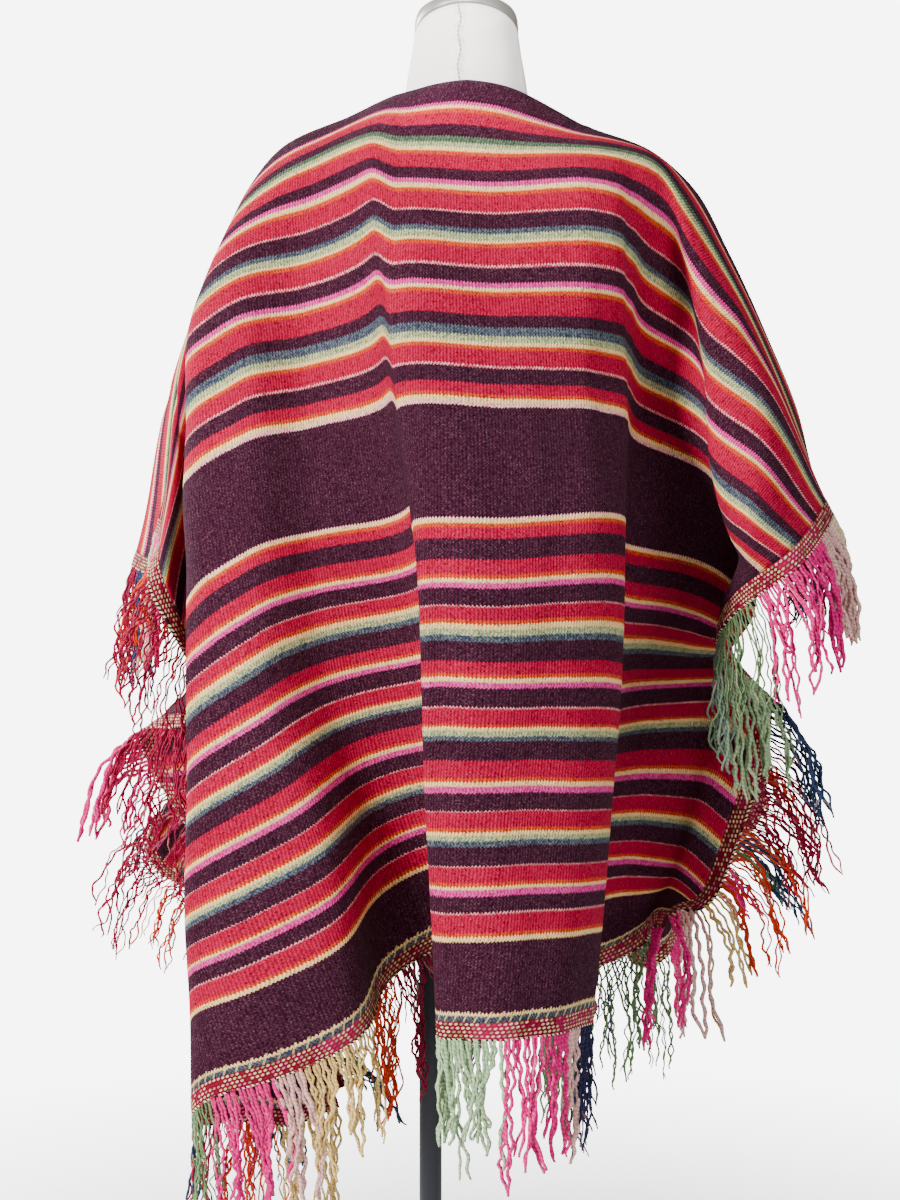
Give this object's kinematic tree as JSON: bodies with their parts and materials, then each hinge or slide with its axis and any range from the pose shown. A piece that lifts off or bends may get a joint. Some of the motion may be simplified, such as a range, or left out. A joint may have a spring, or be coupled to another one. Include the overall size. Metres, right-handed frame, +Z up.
{
  "type": "andean poncho on dress form",
  "caption": "Handwoven striped poncho with braided edging tape and long fringe on every edge, draped over a limbless dress form on a pole stand with a round base.",
  "frame": {"origin": "centre of the round base at its underside, on the pole's axis", "axes": "+Z up along the pole; the poncho's back faces -Y and its front +Y; +X is the wearer's right as seen from behind"},
  "size_m": [0.814, 0.6276, 1.498],
  "materials": {
    "cloth": "matte handwoven wool, striped across the width",
    "fringe": "crinkled wool yarn in blocks of colour",
    "form_cover": "smooth off-white cotton cover",
    "form_cap": "satin grey",
    "stand": "satin dark navy paint"
  },
  "bodies": {
    "root": {"poncho_back": "cloth", "poncho_front": "cloth", "fringe_back": "fringe", "fringe_front": "fringe", "fringe_left": "fringe", "fringe_right": "fringe", "form_torso": "form_cover", "neck_cap": "form_cap", "pole": "stand", "base": "stand"}
  },
  "joints": []
}
